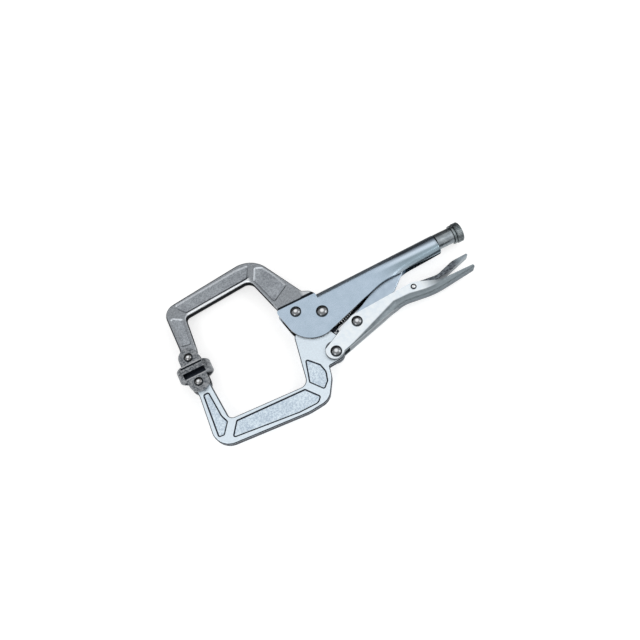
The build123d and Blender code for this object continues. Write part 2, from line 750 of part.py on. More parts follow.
wire_start = Plane(spring_path @ 0, z_dir=spring_path % 0)
tension_spring = sweep(wire_start * Circle(wire / 2), path=spring_path)

# Least gap between turns, measured on points along the wire that are over a turn apart
samples = [helix_stop(step / 12)[0] for step in range(24 * turns + 1)]
turn_gap = min(
    (samples[first] - samples[second]).length
    for first in range(len(samples))
    for second in range(first + 18, min(first + 31, len(samples)))
)
print(f"spring: {turns} turns, least gap between turns {turn_gap - wire:.2f} mm")

nodes = {
    "handle_shell": handle_shell,
    "fixed_jaw": fixed_jaw,
    "fixed_jaw_rivet": fixed_jaw_rivet,
    "jaw_pivot_rivet": jaw_pivot_rivet,
    "screw_bushing": screw_bushing,
    "spring_anchor": spring_anchor,
    "moving_jaw": moving_jaw,
    "lever_handle": lever_handle,
    "lever_pivot_rivet": lever_pivot_rivet,
    "link_rivet": link_rivet,
    "release_rivet": release_rivet,
    "toggle_link": toggle_link,
    "release_lever": release_lever,
    "adjusting_screw": adjusting_screw,
    "knurled_knob": knurled_knob,
    "tension_spring": tension_spring,
    "upper_pad": upper_pad,
    "upper_pad_pin": upper_pad_pin,
    "lower_pad": lower_pad,
    "lower_pad_pin": lower_pad_pin,
}

# The finished frame has its origin under the middle of the whole clamp
boxes = [solid.bounding_box() for solid in nodes.values()]
low = [min(getattr(box.min, axis) for box in boxes) for axis in "XYZ"]
high = [max(getattr(box.max, axis) for box in boxes) for axis in "XYZ"]
pivot_place = Vector(-(low[0] + high[0]) / 2, -(low[1] + high[1]) / 2, -low[2])
print("jaw pivot in the finished frame:", pivot_place)
for name, solid in nodes.items():
    export_step(Pos(pivot_place) * solid, f"parts/{name}.step")
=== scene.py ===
# %% [markdown]
# # Locking C-clamp pliers
# The tool lies flat with its jaws closed: two forged C-shaped jaws with swivel pads, a folded sheet
# handle, a toggle lever with a release lever, and a knurled knob on an adjusting screw.
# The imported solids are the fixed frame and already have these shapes, so most of them only get their
# finishes here. Three are modelled again by hand, because solids can't show them well: the knurled
# knob, the screw's thread and the wound spring.

# %% Load the frame
import json
import math

import bpy
from mathutils import Matrix, Vector


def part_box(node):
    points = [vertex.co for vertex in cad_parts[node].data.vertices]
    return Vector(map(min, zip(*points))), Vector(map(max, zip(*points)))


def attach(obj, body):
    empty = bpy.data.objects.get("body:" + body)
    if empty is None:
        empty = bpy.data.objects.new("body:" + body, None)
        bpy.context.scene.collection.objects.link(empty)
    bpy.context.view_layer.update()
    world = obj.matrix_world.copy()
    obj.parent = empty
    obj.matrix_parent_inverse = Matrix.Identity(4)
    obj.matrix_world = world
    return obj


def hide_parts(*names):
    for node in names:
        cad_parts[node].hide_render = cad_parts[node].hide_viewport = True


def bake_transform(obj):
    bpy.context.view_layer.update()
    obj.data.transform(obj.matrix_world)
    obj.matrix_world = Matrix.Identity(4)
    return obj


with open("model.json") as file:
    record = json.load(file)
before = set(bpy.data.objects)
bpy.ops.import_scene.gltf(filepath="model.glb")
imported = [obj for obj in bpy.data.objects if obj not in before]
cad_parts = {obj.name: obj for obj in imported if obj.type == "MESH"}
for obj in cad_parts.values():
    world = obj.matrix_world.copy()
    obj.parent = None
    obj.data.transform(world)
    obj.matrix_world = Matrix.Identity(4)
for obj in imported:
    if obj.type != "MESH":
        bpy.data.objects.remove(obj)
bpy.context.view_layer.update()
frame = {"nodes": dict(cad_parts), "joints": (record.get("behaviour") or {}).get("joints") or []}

MM = 0.001
nodes = frame["nodes"]
joints = {joint["name"]: joint for joint in frame["joints"]}
jaw_pivot = Vector(joints["jaw_open"]["pos_m"])
mid_plane = jaw_pivot.z
print(len(nodes), "solids, jaw pivot at", [round(value / MM, 2) for value in jaw_pivot], "mm")


def from_pivot(x, y, z=0.0):
    """A place measured in millimetres from the jaw pivot."""
    return jaw_pivot + Vector((x, y, z)) * MM


# %% [markdown]
# ## Camera
# The tool is seen from above and a little from the moving jaw's side, with the handle rising to the
# right. A camera can be aimed with a Track To constraint or by typing angles. This one was fitted to
# the rivets, pads and outlines, which gives its place, the point it looks at and its roll, so its
# matrix is built from those three.

# %% Camera
camera_place = from_pivot(-62.4, -223.6, 561.6)
camera_aim = from_pivot(-4.48, -3.23, -1.78)
camera_roll = math.radians(26.016)
sensor_width = 36.0
focal_pixels = 680
picture_pixels = 640


def add_alone(add, **settings):
    """Adds an object with nothing else selected, and returns it."""
    bpy.ops.object.select_all(action="DESELECT")
    add(**settings)
    return bpy.context.object


sight = (camera_aim - camera_place).normalized()
level = (Vector((1, 0, 0)) - sight * sight.x).normalized()
upright = (-sight).cross(level)
right = level * math.cos(camera_roll) - upright * math.sin(camera_roll)
above = level * math.sin(camera_roll) + upright * math.cos(camera_roll)
facing = Matrix((right, above, -sight)).transposed().to_4x4()

camera = add_alone(bpy.ops.object.camera_add)
camera.name = "camera"
camera.matrix_world = Matrix.Translation(camera_place) @ facing
camera.data.sensor_width = sensor_width
camera.data.lens = sensor_width * focal_pixels / picture_pixels
bpy.context.scene.camera = camera
print("camera lens", round(camera.data.lens, 2), "mm")

# %% [markdown]
# ## Writing finishes as sums
# Every finish here changes over its surface: by place, by the distance from a line, or by noise. Such
# maths is often drawn as boxes and wires in the shader editor. Python is easier to read, so a Tap is
# one output socket that knows arithmetic: adding or multiplying two of them puts a Math node in the
# material.


# %% Tap: a socket with arithmetic
class Tap:
    """An output socket of a finish, with Python's arithmetic."""

    def __init__(self, finish, socket):
        self.finish = finish
        self.socket = socket

    def combine(self, operation, first, second):
        return self.finish.node("ShaderNodeMath", {"operation": operation}, {0: first, 1: second})

    def __add__(self, other):
        return self.combine("ADD", self, other)

    def __radd__(self, other):
        return self.combine("ADD", other, self)

    def __sub__(self, other):
        return self.combine("SUBTRACT", self, other)

    def __rsub__(self, other):
        return self.combine("SUBTRACT", other, self)

    def __mul__(self, other):
        return self.combine("MULTIPLY", self, other)

    def __rmul__(self, other):
        return self.combine("MULTIPLY", other, self)

    def __abs__(self):
        return self.finish.node("ShaderNodeMath", {"operation": "ABSOLUTE"}, {0: self})

    def above(self, floor):
        """The value, but not less than the floor."""
        return self.combine("MAXIMUM", self, floor)

    def rises(self, low, high):
        """0 below low, 1 above high, and a smooth step between."""
        ends = {"Value": self, "From Min": low, "From Max": high}
        return self.finish.node("ShaderNodeMapRange", {"interpolation_type": "SMOOTHSTEP"}, ends)

    def falls(self, low, high):
        """1 below low, 0 above high, and a smooth step between."""
        return 1 - self.rises(low, high)

    def between(self, rise, fall):
        """0 outside and 1 inside a band that rises over one range and falls over the next."""
        return self.rises(*rise) - self.rises(*fall)


print("Tap knows sums, products and smooth steps")

# %% [markdown]
# A Finish is a material being made. Each node could get its own lines of code, but all of them need
# the same three things, a kind, settings and sockets, so one method adds any of them. A Finish also
# measures places in millimetres from the jaw pivot, as the solids were drawn.


# %% Finish: a material being made
class Finish:
    """A material being made: a Principled BSDF and what feeds it."""

    def __init__(self, name):
        self.material = bpy.data.materials.new(name)
        self.material.use_nodes = True
        self.tree = self.material.node_tree
        self.place = self.node("ShaderNodeTexCoord", output="Object")
        parts = self.tree.nodes.new("ShaderNodeSeparateXYZ")
        self.connect(parts, {0: self.place})
        x, y, z = (Tap(self, parts.outputs[axis]) for axis in "XYZ")
        self.along = (x - jaw_pivot.x) * (1 / MM)
        self.across = (y - jaw_pivot.y) * (1 / MM)
        self.off_middle = abs(z - mid_plane) * (1 / MM)

    def connect(self, target, sockets):
        """Gives each named socket of a node its number, or a link from its Tap."""
        for key, value in sockets.items():
            if isinstance(value, Tap):
                self.tree.links.new(value.socket, target.inputs[key])
            else:
                target.inputs[key].default_value = value

    def node(self, kind, settings=None, sockets=None, output=0):
        """Adds a node: its settings first, then the values or links of its sockets."""
        made = self.tree.nodes.new(kind)
        for setting, value in (settings or {}).items():
            setattr(made, setting, value)
        self.connect(made, sockets or {})
        return Tap(self, made.outputs[output])

    def noise(self, size, stretch=(1, 1, 1), detail=3.0):
        """Noise from 0 to 1 with features about size metres across, stretched along the axes."""
        squeeze = tuple(1 / part for part in stretch)
        spread = self.node("ShaderNodeMapping", {}, {"Vector": self.place, "Scale": squeeze})
        sockets = {"Vector": spread, "Scale": 1 / size, "Detail": detail}
        return self.node("ShaderNodeTexNoise", {}, sockets)

    def blend(self, share, first, second):
        """Mixes two colours, each written as numbers or made by a node."""
        pair = {0: share, 6: colour(first), 7: colour(second)}
        return self.node("ShaderNodeMix", {"data_type": "RGBA"}, pair, output=2)

    def reach(self, middle):
        """Squared distance in millimetres from an upright axis through a place."""
        side = self.along - middle[0]
        rise = self.across - middle[1]
        return side * side + rise * rise

    def past_line(self, point, way):
        """How far a place lies past a line through a point, in the direction way."""
        return (self.along - point[0]) * way[0] + (self.across - point[1]) * way[1]

    def finish(self, base, roughness, relief, relief_height):
        """Connects the colour, roughness and relief of a metal, and returns the material."""
        bump = {"Height": relief, "Distance": relief_height, "Strength": 1.0}
        normal = self.node("ShaderNodeBump", {}, bump)
        sockets = {"Base Color": base, "Roughness": roughness, "Metallic": 1.0, "Normal": normal}
        self.connect(self.tree.nodes["Principled BSDF"], sockets)
        return self.material


def colour(value):
    """A colour socket's value: three numbers get an alpha, and a Tap stays."""
    return value if isinstance(value, Tap) else (*value, 1.0)


print("Finish measures from", [round(value, 4) for value in jaw_pivot], "m")

# %% [markdown]
# A finish reaches a solid through the material slot of its mesh. The slot could be set in the object
# instead, but the mesh keeps it wherever the solid goes, so the mesh's list is emptied and filled.


# %% Dressing solids
def dress(material, *names):
    """Gives CAD nodes a finish."""
    for name in names:
        mesh = nodes[name].data
        mesh.materials.clear()
        mesh.materials.append(material)
    print(material.name, "on", ", ".join(names))


def middle_of(name):
    """The middle of a CAD node's box, in millimetres from the jaw pivot."""
    return (sum(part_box(name), Vector()) / 2 - jaw_pivot) / MM


print("jaw pivot rivet's middle at", [round(value, 2) for value in middle_of("jaw_pivot_rivet")])

# %% [markdown]
# ## Plated sheet of the handle
# The handle is folded from sheet steel and bright plated. Rolling leaves faint lines along the sheet,
# and the plating clouds a little. A picture of steel could be wrapped round it, but it would stretch
# at the folds. Noise in the object's own coordinates doesn't, and stretching it along the handle
# turns its specks into rolling lines.

# %% Handle: grain and plating
rolling_width = 0.5 * MM
cloud_size = 9 * MM
speck_size = 1.2 * MM
plated_dark = (0.41, 0.51, 0.61)
plated_light = (0.47, 0.57, 0.68)

shell = Finish("plated_handle_sheet")
rolled = shell.noise(rolling_width, stretch=(14, 1, 1))
clouds = shell.noise(cloud_size, detail=2.0)
specks = shell.noise(speck_size, detail=2.0)
plated = shell.blend((clouds * 0.6 + specks * 0.4).rises(0.3, 0.7), plated_dark, plated_light)
print("handle plating from", plated_dark, "to", plated_light)

# %% [markdown]
# The rear half is curled in to a tube. Its light and shade are painted into the finish as bands along
# its length: painted shade below, a painted highlight streak, a painted dark reflection on the back
# and painted shade on the swaged end. Lamps could throw such bands, but they would wander with the
# view, so the bands are painted by the distance across the tube, and fade in where the flat sheet
# turns round.

# %% Handle: tube with painted light and shade
tube_starts = (52, 92)
tube_under_shade = (0.40, 0.48, 0.54)
tube_light_and_shade_bands = (
    ((2.0, 5.0), (0.25, 0.325, 0.375)),
    ((8.8, 11.6), (0.60, 0.70, 0.80)),
    ((12.3, 16.0), (0.13, 0.16, 0.195)),
)
swage_starts = (119, 123)
swage_end_shade_share = 0.5
swage_end_shade_tone = (0.10, 0.12, 0.13)

# Painted shade below, a painted highlight streak and a painted dark reflection on the back.
drawn = tube_under_shade
for band_starts, band_tone in tube_light_and_shade_bands:
    drawn = shell.blend(shell.across.rises(*band_starts), drawn, band_tone)
# Painted shade on the swaged end.
end_shaded_tube = shell.blend(shell.along.rises(*swage_starts) * swage_end_shade_share, drawn, swage_end_shade_tone)
tube = shell.along.rises(*tube_starts)
body = shell.blend(tube, plated, end_shaded_tube)
print("tube with", len(tube_light_and_shade_bands), "bands, from", tube_starts[0], "mm behind the jaw pivot")

# %% [markdown]
# The cut edges of the sheet and the seam of the tube get nearly black painted shade, and the crown of
# the back is painted one flat grey as shade. Edges can be found by the mesh's pointiness, but long
# thin
# CAD triangles give it steps. The sheet lies flat, so the distance from the tool's middle plane finds
# its edges exactly.

# %% Handle: painted shade on edges, seam and crown
sheet_face = 7.05
edge_fades = (sheet_face - 0.6, sheet_face - 0.1)
seam_fades = (0.5, 2.0)
back_starts = (11, 13)
crown_fades = (4.8, 6.9)
edge_shade_tone = (0.03, 0.035, 0.04)
crown_shade_tone = (0.38, 0.44, 0.50)

back = shell.across.rises(*back_starts)
cut_edge_shade = (1 - tube) * shell.off_middle.falls(*edge_fades)
seam_shade = tube * shell.off_middle.falls(*seam_fades)
# Painted shade on the cut edges and the seam.
edge_shaded = shell.blend((1 - back) * (cut_edge_shade + seam_shade), body, edge_shade_tone)
crown = back * shell.off_middle.falls(*crown_fades)
# Painted grey shade on the crown of the back.
shell_tone = shell.blend(crown, edge_shaded, crown_shade_tone)
shell_relief = rolled * 0.6 + specks * 0.4
shell_roughness = 0.22 + rolled * 0.08
shell_relief_height = 0.05 * MM
shell_sheet = shell.finish(shell_tone, shell_roughness, shell_relief, shell_relief_height)
dress(shell_sheet, "handle_shell")

# %% [markdown]
# ## Plated sheet of the lever
# The lever is bent from the same sheet. Its flat cheeks get a near-white painted highlight in their
# tone. They could have a material of their own on chosen faces, but the border would then be a hard
# line between triangles. One finish with a mask lets the painted highlight stop along the bent fold
# and fade out towards the tail.

# %% Lever: painted highlight on the cheeks
cheek_rises = (sheet_face - 0.25, sheet_face - 0.02)
tail_starts = (86, 108)
fold_starts = (14, -38.1)
fold_slope = 0.375
fold_bends = ((60, 0.385), (76, 0.19))
fold_fades = (-0.6, 0.9)
cheek_highlight_dark = (0.76, 0.83, 0.89)
cheek_highlight_light = (0.84, 0.89, 0.92)
lever_cloud_size = 4 * MM

lever = Finish("plated_lever_sheet")
lever_rolled = lever.noise(rolling_width, stretch=(10, 2, 1))
lever_clouds = lever.noise(lever_cloud_size, detail=2.0)
fold_line = (lever.along - fold_starts[0]) * fold_slope
for bend, slope_lost in fold_bends:
    fold_line = fold_line - (lever.along - bend).above(0) * slope_lost
flat = lever.off_middle.rises(*cheek_rises) * lever.along.falls(*tail_starts)
cheek = flat * (lever.across - fold_starts[1] - fold_line).rises(*fold_fades)
# Painted highlight: the near-white tone of the cheeks.
cheek_highlight = lever.blend(lever_clouds.rises(0.3, 0.7), cheek_highlight_dark, cheek_highlight_light)
print("cheeks polished above a fold with", len(fold_bends), "bends")

# %% [markdown]
# The folded side and the round tail are satin grey, with painted shade: darker in the middle of the
# gutter and along the fold. A second bump would roughen them too much, so only the tone is clouded.

# %% Lever: satin side and painted shade in the gutter
gutter_rises = (1.5, 4.6)
fold_rises = (sheet_face - 1.6, sheet_face - 0.3)
gutter_middle_shade = (0.11, 0.13, 0.15)
gutter_side = (0.25, 0.295, 0.32)
fold_shade_tone = (0.15, 0.175, 0.19)
satin_tone = (0.30, 0.34, 0.37)
satin_share = 0.3

# Painted shade, darkest in the middle of the gutter and along the fold.
gutter_shading = lever.blend(lever.off_middle.rises(*gutter_rises), gutter_middle_shade, gutter_side)
shaded = lever.blend(lever.off_middle.rises(*fold_rises), gutter_shading, fold_shade_tone)
satin_clouds = (lever_clouds * 0.7 + lever_rolled * 0.3).rises(0.35, 0.65)
satin = lever.blend(satin_clouds * satin_share, shaded, satin_tone)
highlighted = lever.blend(cheek, satin, cheek_highlight)
print("lever side from", gutter_middle_shade, "to", gutter_side)

# %% [markdown]
# A fine line of painted shadow runs round the lever's nose, where the sheet's edge stands against the
# jaw. It could be a bevel, but the solids' meshes stay as they are, so the painted shadow is drawn
# along the same circle and straight edge that the solid has.

# %% Lever: painted shadow round the nose
lever_pivot = middle_of("lever_pivot_rivet")
nose_middle = (lever_pivot.x - 0.6, lever_pivot.y + 1.7)
nose_radius = 8.4
nose_ends = (-4, 2)
top_rise = math.radians(26.5)
top_way = (-math.sin(top_rise), math.cos(top_rise))
top_offset = 9.0
top_ends = (9, 15)
line_outer = 0.2
line_inner = 0.45
nose_shadow_tone = (0.06, 0.068, 0.08)

from_nose = lever.along - nose_middle[0]
nose_limits = ((nose_radius - line_inner) ** 2, (nose_radius - line_outer) ** 2)
round_edge_shadow = lever.reach(nose_middle).rises(*nose_limits) * from_nose.falls(*nose_ends)
past_top = lever.past_line(lever_pivot, top_way)
top_edge_shadow = past_top.rises(top_offset - line_inner, top_offset - line_outer)
top_edge_shadow = top_edge_shadow * from_nose.falls(*top_ends)
# Painted shadow along the nose's round edge and top edge.
lever_tone = lever.blend(round_edge_shadow + top_edge_shadow, highlighted, nose_shadow_tone)
lever_roughness = 0.32 - cheek * 0.06 + lever_rolled * 0.08
lever_relief_height = 0.03 * MM
lever_sheet = lever.finish(lever_tone, lever_roughness, lever_rolled, lever_relief_height)
dress(lever_sheet, "lever_handle")

# %% [markdown]
# ## Forged jaws
# The jaws are forged and then plated. Their sunk panels keep the speckled grain of the forging, the
# rims are smoother, and the sides and the walls of the panels get painted light and shade as tones of
# their own. Four materials could do it, one for each kind of face, but the height above the middle
# plane already tells them apart, so one function makes the whole skin for either jaw.

# %% Forged skin
jaw_face = 4.25
panel_floor = 3.15
face_rises = (panel_floor - 0.7, panel_floor - 0.1)
rim_rises = (jaw_face - 0.12, jaw_face - 0.02)
wall_rises = (panel_floor + 0.02, panel_floor + 0.12)
grain_size = 1.6 * MM
fine_size = 0.8 * MM
patch_size = 14 * MM
forged_relief_height = 0.22 * MM


def forged(name, rim_tone, panel_tones, wall_painted_light, wall_share, side_shade_tone, marks=()):
    """Plated forging with a speckled skin, rims, painted shade on the sides, painted light on the
    panel walls, and painted marks.
    """
    made = Finish(name)
    grain = made.noise(grain_size)
    fine = made.noise(fine_size, detail=2.0)
    patches = made.noise(patch_size, detail=2.0)
    face = made.off_middle.rises(*face_rises)
    rim = made.off_middle.rises(*rim_rises)
    wall = made.off_middle.rises(*wall_rises) - rim
    speckle = (grain * 0.6 + fine * 0.4).rises(0.38, 0.62)
    panels = made.blend(speckle * 0.7 + patches.rises(0.3, 0.7) * 0.3, *panel_tones)
    rims = made.blend(speckle * 0.6, rim_tone, panel_tones[1])
    # Painted light on the panel walls: a highlight on the upper jaw, shade on the lower.
    tone = made.blend(wall * wall_share, made.blend(rim, panels, rims), wall_painted_light)
    for mark, mark_tone in marks:
        tone = made.blend(mark(made), tone, mark_tone)
    # Painted shade on the sides.
    tone = made.blend(face, side_shade_tone, tone)
    roughness = 0.34 + grain * 0.14 + (1 - face) * 0.08
    return made.finish(tone, roughness, grain * 0.7 + fine * 0.3, forged_relief_height)


print("forged skin with panels", round(jaw_face - panel_floor, 2), "mm deep")

# %% [markdown]
# The upper jaw is the darker one, and its arm gets painted light along its edges: a painted highlight
# streak along the inside, painted shade on the wall beside it, and painted shade on the rounded edge
# all along the outside. Such lines follow the jaw's straight edges, so each is drawn by the distance
# past a line, which is exact and needs no painting on the mesh.

# %% Painted light along the upper jaw's edges
arm_inside = (-111.8, 54.6)
arm_inside_way = (-0.0867, 1)
arm_inside_span = ((-111, -107), (-47, -43))
arm_outside = (-127.7, 69.8)
arm_outside_way = (0.12, -1)
arm_outside_span = ((-119, -116), (-50, -46))
leg_outside = -127.8
rear_corner = (-20.4, 54.5)
rear_way = (-0.886, -0.462)
rear_starts_along = (-30, -27)
rear_starts_across = (29, 32)
edge_width = (0.9, 1.4)
streak_band = (-2.0, 1.8)
wall_band = (2.2, 3.5)
line_softness = 0.4


def along_arm(made, low, high):
    """A band along the inside of the upper arm, by its distance from the arm's inner edge."""
    from_edge = made.past_line(arm_inside, arm_inside_way)
    in_arm = made.along.between(*arm_inside_span)
    return in_arm * from_edge.between((low - line_softness, low), (high, high + line_softness))


def inner_streak(made):
    """Painted highlight along the inside edge of the upper arm."""
    return along_arm(made, *streak_band)


def inner_wall(made):
    """Painted shade on the wall of the arm's panel beside the painted highlight."""
    return along_arm(made, *wall_band)


def outer_edge(made):
    """Painted shade on the rounded edge along the outside of the leg, the arm and the rear leg."""
    from_leg = made.along - leg_outside
    from_arm = made.past_line(arm_outside, arm_outside_way)
    from_rear = made.past_line(rear_corner, rear_way)
    in_arm = made.along.between(*arm_outside_span)
    in_rear = made.across.rises(*rear_starts_across) * made.along.rises(*rear_starts_along)
    arm_edge = in_arm * from_arm.falls(*edge_width)
    rear_edge = in_rear * from_rear.falls(*edge_width)
    return arm_edge + rear_edge + from_leg.falls(*edge_width)


print("arm edges run from", arm_inside, "and", arm_outside, "mm")

# %% [markdown]
# Where the upper jaw goes into the handle a black painted shadow is drawn, and the lug that laps over
# the handle's back gets a painted highlight on top. Both are again masks by place. Their tones and
# those of the skin are handed to the function that makes the forging.

# %% Upper jaw
mouth_starts = (-39, -38)
mouth_height = 21.9
mouth_fades = (0, 0.7)
under_lug_starts = (-12, -9)
under_lug_extra = 0.6
lug_top_starts = (-10, -7)
lug_top_rises = (22.4, 23.2)


def mouth_shadow(made):
    """Painted shadow line where the upper jaw goes into the handle, wider under the lug."""
    limit = mouth_height + made.along.rises(*under_lug_starts) * under_lug_extra
    return made.along.rises(*mouth_starts) * (made.across - limit).falls(*mouth_fades)


def lug_highlight(made):
    """Painted highlight on top of the lug over the handle's back."""
    return made.along.rises(*lug_top_starts) * made.across.rises(*lug_top_rises)


upper_rim = (0.24, 0.255, 0.275)
upper_panels = ((0.21, 0.225, 0.25), (0.44, 0.475, 0.51))
# Painted highlight on the panel walls.
upper_wall_highlight = (0.62, 0.65, 0.68)
upper_wall_share = 0.45
# Painted shade on the sides.
upper_side_shade = (0.05, 0.055, 0.06)
upper_marks = (
    (outer_edge, (0.06, 0.065, 0.075)),
    (inner_wall, (0.05, 0.055, 0.065)),
    (inner_streak, (0.84, 0.87, 0.90)),
    (lug_highlight, (0.58, 0.60, 0.62)),
    (mouth_shadow, (0.012, 0.015, 0.02)),
)
upper_skin = (upper_rim, upper_panels, upper_wall_highlight, upper_wall_share, upper_side_shade, upper_marks)
dress(forged("upper_jaw_forging", *upper_skin), "fixed_jaw")

# %% [markdown]
# The lower jaw is plated brighter and bluer, and the walls of its panels and its sides get black
# painted shade. The same function makes it, with other tones and no marks.

# %% Lower jaw
lower_rim = (0.68, 0.76, 0.83)
lower_panels = ((0.42, 0.51, 0.61), (0.76, 0.86, 0.93))
# Black painted shade, on the panel walls and on the sides.
lower_wall_shade = (0.025, 0.03, 0.04)
lower_wall_share = 1.0
lower_skin = (lower_rim, lower_panels, lower_wall_shade, lower_wall_share, lower_wall_shade)
dress(forged("lower_jaw_forging", *lower_skin), "moving_jaw")

# %% [markdown]
# ## Rivets
# Every rivet has a dark dome with a ring of painted shade round its edge and a painted highlight on
# its top. The rings could be cut in the mesh, but they are only a change of tone, so the finish is
# drawn by the distance from the rivet's own axis. The small release rivet is hollow-headed: its sunk
# middle gets a bright painted highlight.

# %% Rivets
ring_shade_tone = (0.025, 0.03, 0.035)
ring_fade = 0.18
top_highlight_tone = (0.80, 0.82, 0.84)
top_fades = (0.10, 0.42)
worn_share = 0.75
rivet_ring, rivet_dome = 0.66, (0.21, 0.22, 0.23)
pin_ring, pin_dome = 0.62, (0.22, 0.22, 0.22)
sunk_ring, sunk_middle_highlight = 0.45, (0.86, 0.88, 0.90)
rivet_relief_height = 0.03 * MM


def rivet_steel(name, ring_share, dome_tone):
    """Dome with a painted highlight on top inside a ring of painted shade, about the axis of one
    rivet.
    """
    low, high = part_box(name)
    radius = (high.x - low.x) / 2 / MM
    made = Finish("shaded_and_lit_" + name)
    grain = made.noise(fine_size)
    reach = made.reach(middle_of(name))
    ring = reach.rises((radius * ring_share) ** 2, (radius * (ring_share + ring_fade)) ** 2)
    top = reach.falls(*((radius * share) ** 2 for share in top_fades))
    worn_tone = tuple(part * worn_share for part in dome_tone)
    dome = made.blend(grain.rises(0.3, 0.7), worn_tone, dome_tone)
    # Painted shade in the ring, and a painted highlight on the top.
    tone = made.blend(ring, made.blend(top, dome, top_highlight_tone), ring_shade_tone)
    dress(made.finish(tone, 0.12 + grain * 0.10, grain, rivet_relief_height), name)


for rivet in ("fixed_jaw_rivet", "jaw_pivot_rivet", "lever_pivot_rivet", "link_rivet"):
    rivet_steel(rivet, rivet_ring, rivet_dome)
for pin in ("upper_pad_pin", "lower_pad_pin"):
    rivet_steel(pin, pin_ring, pin_dome)
rivet_steel("release_rivet", sunk_ring, sunk_middle_highlight)

# %% [markdown]
# ## Swivel pads
# The pads are pressed and dark. The hollows in front of their ears get nearly black painted shade, and
# the edge of each ear's foot gets a light line of painted highlight. The two pads mirror each other,
# so
# one finish serves both: it measures from the clamping plane between them.

# %% Swivel pads
upper_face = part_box("upper_pad")[0].y
lower_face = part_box("lower_pad")[1].y
clamping_plane = ((upper_face + lower_face) / 2 - jaw_pivot.y) / MM
half_gap = (upper_face - lower_face) / 2 / MM
ear_fades = (9.7, 9.9)
hollow_rises, hollow_falls = (1.9, 2.0), (5.4, 5.7)
foot_rises, foot_falls = (5.6, 5.8), (6.4, 6.8)
pressed_dark = (0.085, 0.095, 0.11)
pressed_light = (0.33, 0.345, 0.36)
foot_highlight_tone = (0.45, 0.46, 0.47)
foot_highlight_share = 0.8
hollow_shade_tone = (0.03, 0.036, 0.048)
pad_grain_size = 1.5 * MM
pad_relief_height = 0.12 * MM

pads = Finish("pressed_pads")
pad_grain = pads.noise(pad_grain_size)
from_plane = abs(pads.across - clamping_plane) - half_gap
inside_ears = abs(pads.along - middle_of("upper_pad_pin").x).falls(*ear_fades)
# Painted shade in the hollows and a painted highlight on the ears' feet.
hollow_shade = inside_ears * from_plane.between(hollow_rises, hollow_falls)
foot_highlight = inside_ears * from_plane.between(foot_rises, foot_falls)
pressed = pads.blend(pad_grain.rises(0.3, 0.7), pressed_dark, pressed_light)
foot_lit = pads.blend(foot_highlight * foot_highlight_share, pressed, foot_highlight_tone)
pad_tone = pads.blend(hollow_shade, foot_lit, hollow_shade_tone)
pad_steel = pads.finish(pad_tone, 0.30 + pad_grain * 0.14, pad_grain, pad_relief_height)
dress(pad_steel, "upper_pad", "lower_pad")

# %% [markdown]
# ## Release lever
# The release lever is a dark strip between the lever's cheeks, with a lighter, worn edge and tip where
# a finger presses it. Wear could be painted on the mesh by hand, but the solids' meshes stay as they
# are, so masks by place find the edge and the tip.

# %% Release lever
strip_face = (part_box("release_lever")[1].z - mid_plane) / MM
worn_edge_fades = (strip_face - 0.7, strip_face - 0.1)
worn_tip_starts = (124, 134)
strip_dark = (0.045, 0.05, 0.06)
strip_light = (0.15, 0.17, 0.19)
worn_edge_tone = (0.16, 0.18, 0.20)
worn_tip_tone = (0.28, 0.33, 0.36)
worn_tip_share = 0.8
release_grain_size = 1.3 * MM
release_relief_height = 0.08 * MM

release = Finish("dark_release_strip")
release_grain = release.noise(release_grain_size, stretch=(2, 1, 1))
worn_edge = release.off_middle.falls(*worn_edge_fades)
worn_tip = release.along.rises(*worn_tip_starts)
strip = release.blend(release_grain.rises(0.35, 0.65), strip_dark, strip_light)
worn = release.blend(worn_edge, strip, worn_edge_tone)
release_tone = release.blend(worn_tip * worn_tip_share, worn, worn_tip_tone)
roughness = 0.28 + release_grain * 0.12
release_strip = release.finish(release_tone, roughness, release_grain, release_relief_height)
dress(release_strip, "release_lever")

# %% [markdown]
# ## Small steel pieces
# The link and the spring's anchor are plated like the handle, and the bushing, knob, screw and spring
# are plain steel. They differ only in tone and in how fine their grain is, so one function makes them
# all.

# %% Small steel finishes
turned_grain = 0.4 * MM
drawn_grain = 0.5 * MM
steel_patch_size = 5 * MM


def steel(name, low_tone, high_tone, rough, grain_width, relief_height, stretch=(1, 1, 1)):
    """Plain steel with clouded tone and a fine grain."""
    made = Finish(name)
    grain = made.noise(grain_width, stretch)
    patches = made.noise(steel_patch_size, detail=2.0)
    tone = made.blend((patches * 0.7 + grain * 0.3).rises(0.32, 0.68), low_tone, high_tone)
    return made.finish(tone, rough + grain * 0.12, grain, relief_height)


link_tones = ((0.41, 0.50, 0.60), (0.47, 0.57, 0.67))
bushing_tones = ((0.20, 0.23, 0.25), (0.31, 0.345, 0.365))
knob_tones = ((0.13, 0.155, 0.165), (0.28, 0.31, 0.32))
thread_tones = ((0.24, 0.26, 0.28), (0.40, 0.42, 0.44))
spring_tones = ((0.62, 0.64, 0.66), (0.82, 0.84, 0.86))
link_steel = steel("link_plate", *link_tones, 0.26, drawn_grain, 0.04 * MM, (6, 3, 1))
dress(link_steel, "toggle_link", "spring_anchor")
dress(steel("turned_bushing", *bushing_tones, 0.24, turned_grain, 0.04 * MM), "screw_bushing")
knob_steel = steel("knurled_knob_steel", *knob_tones, 0.30, turned_grain, 0.05 * MM)
thread_steel = steel("screw_thread_steel", *thread_tones, 0.28, turned_grain, 0.03 * MM)
spring_steel = steel("drawn_spring_wire", *spring_tones, 0.20, drawn_grain, 0.02 * MM)
print("ready for modelled pieces:", knob_steel.name, thread_steel.name, spring_steel.name)

# %% [markdown]
# ## Shaping by hand
# New pieces start from a primitive and are shaped in edit mode. Operators act on what is selected. By
# hand that is a click, and in code faces can be picked by their place or their direction, so one
# helper selects by a test. Another names a finished piece and sets it on the body that carries it.


